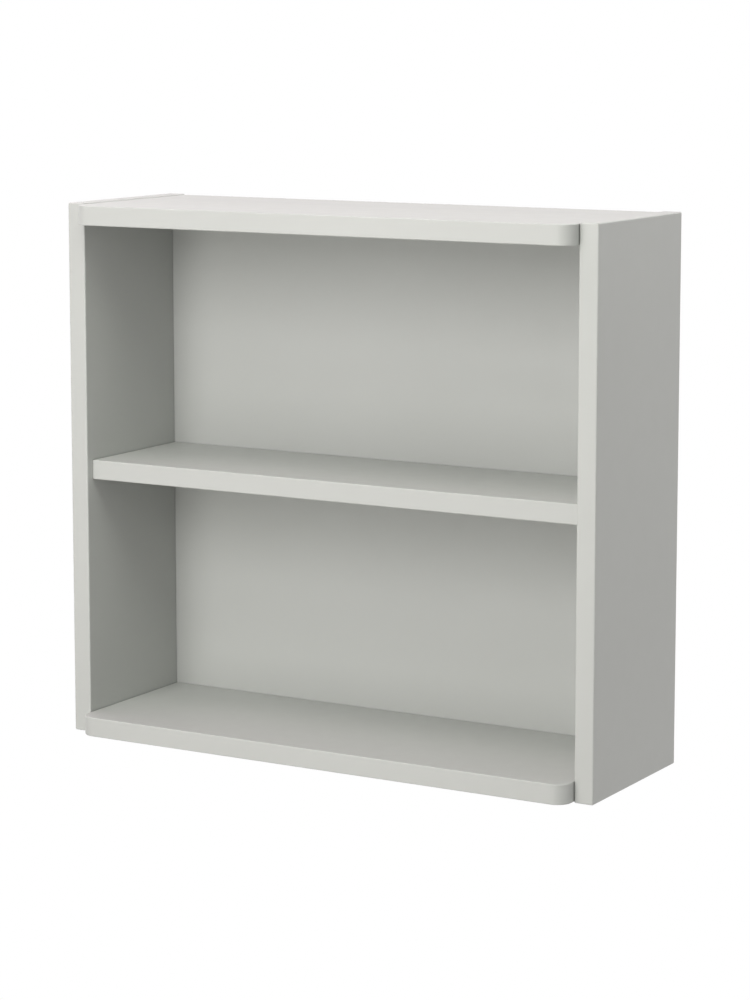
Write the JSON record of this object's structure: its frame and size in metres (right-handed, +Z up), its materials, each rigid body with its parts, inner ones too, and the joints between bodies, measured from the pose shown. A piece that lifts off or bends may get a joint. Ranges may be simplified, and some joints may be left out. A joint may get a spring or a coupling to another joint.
{
  "type": "wall shelf",
  "caption": "Open box-shaped wall shelf with a middle shelf, a back panel, and top and bottom boards that stand out in front with rounded corners; hangs on keyhole plates.",
  "frame": {"origin": "on the wall plane, midway between the entry holes of the two keyholes", "axes": "+X to the right seen from the front, +Y towards the wall, +Z up; the open front faces -Y"},
  "size_m": [0.6, 0.205, 0.55],
  "materials": {
    "lacquered_board": "satin pale grey lacquer on fibreboard",
    "lacquered_sheet": "satin pale grey lacquer on thin fibreboard",
    "zinc_plated_steel": "bright zinc plating on pressed sheet",
    "screw_steel": "bright zinc plating",
    "die_cast_cam": "dull die-cast zinc",
    "beech_dowel": "bare turned beech"
  },
  "bodies": {
    "carcass": {"left_side_panel": "lacquered_board", "right_side_panel": "lacquered_board", "top_board": "lacquered_board", "middle_shelf": "lacquered_board", "bottom_board": "lacquered_board", "back_panel": "lacquered_sheet", "hanging_rail": "lacquered_board", "left_hanger_plate": "zinc_plated_steel", "right_hanger_plate": "zinc_plated_steel", "hanger_plate_screws": "screw_steel", "top_board_dowels": "beech_dowel", "middle_shelf_dowels": "beech_dowel", "bottom_board_dowels": "beech_dowel", "hanging_rail_dowels": "beech_dowel", "left_cam_bolts": "screw_steel", "right_cam_bolts": "screw_steel"},
    "top_left_front_cam": {"top_left_front_cam": "die_cast_cam"},
    "top_left_rear_cam": {"top_left_rear_cam": "die_cast_cam"},
    "top_right_front_cam": {"top_right_front_cam": "die_cast_cam"},
    "top_right_rear_cam": {"top_right_rear_cam": "die_cast_cam"},
    "middle_left_front_cam": {"middle_left_front_cam": "die_cast_cam"},
    "middle_left_rear_cam": {"middle_left_rear_cam": "die_cast_cam"},
    "middle_right_front_cam": {"middle_right_front_cam": "die_cast_cam"},
    "middle_right_rear_cam": {"middle_right_rear_cam": "die_cast_cam"},
    "bottom_left_front_cam": {"bottom_left_front_cam": "die_cast_cam"},
    "bottom_left_rear_cam": {"bottom_left_rear_cam": "die_cast_cam"},
    "bottom_right_front_cam": {"bottom_right_front_cam": "die_cast_cam"},
    "bottom_right_rear_cam": {"bottom_right_rear_cam": "die_cast_cam"}
  },
  "joints": [
    {"name": "top_left_front_cam_turn", "type": "hinge", "parent": "carcass", "child": "top_left_front_cam", "pos_m": [-0.256, -0.153, 0.05205], "axis": [0, 0, -1], "range_deg": [0, 180]},
    {"name": "top_left_rear_cam_turn", "type": "hinge", "parent": "carcass", "child": "top_left_rear_cam", "pos_m": [-0.256, -0.057, 0.05205], "axis": [0, 0, -1], "range_deg": [0, 180]},
    {"name": "top_right_front_cam_turn", "type": "hinge", "parent": "carcass", "child": "top_right_front_cam", "pos_m": [0.256, -0.153, 0.05205], "axis": [0, 0, -1], "range_deg": [0, 180]},
    {"name": "top_right_rear_cam_turn", "type": "hinge", "parent": "carcass", "child": "top_right_rear_cam", "pos_m": [0.256, -0.057, 0.05205], "axis": [0, 0, -1], "range_deg": [0, 180]},
    {"name": "middle_left_front_cam_turn", "type": "hinge", "parent": "carcass", "child": "middle_left_front_cam", "pos_m": [-0.256, -0.153, -0.21195], "axis": [0, 0, -1], "range_deg": [0, 180]},
    {"name": "middle_left_rear_cam_turn", "type": "hinge", "parent": "carcass", "child": "middle_left_rear_cam", "pos_m": [-0.256, -0.057, -0.21195], "axis": [0, 0, -1], "range_deg": [0, 180]},
    {"name": "middle_right_front_cam_turn", "type": "hinge", "parent": "carcass", "child": "middle_right_front_cam", "pos_m": [0.256, -0.153, -0.21195], "axis": [0, 0, -1], "range_deg": [0, 180]},
    {"name": "middle_right_rear_cam_turn", "type": "hinge", "parent": "carcass", "child": "middle_right_rear_cam", "pos_m": [0.256, -0.057, -0.21195], "axis": [0, 0, -1], "range_deg": [0, 180]},
    {"name": "bottom_left_front_cam_turn", "type": "hinge", "parent": "carcass", "child": "bottom_left_front_cam", "pos_m": [-0.256, -0.153, -0.47595], "axis": [0, 0, -1], "range_deg": [0, 180]},
    {"name": "bottom_left_rear_cam_turn", "type": "hinge", "parent": "carcass", "child": "bottom_left_rear_cam", "pos_m": [-0.256, -0.057, -0.47595], "axis": [0, 0, -1], "range_deg": [0, 180]},
    {"name": "bottom_right_front_cam_turn", "type": "hinge", "parent": "carcass", "child": "bottom_right_front_cam", "pos_m": [0.256, -0.153, -0.47595], "axis": [0, 0, -1], "range_deg": [0, 180]},
    {"name": "bottom_right_rear_cam_turn", "type": "hinge", "parent": "carcass", "child": "bottom_right_rear_cam", "pos_m": [0.256, -0.057, -0.47595], "axis": [0, 0, -1], "range_deg": [0, 180]}
  ]
}
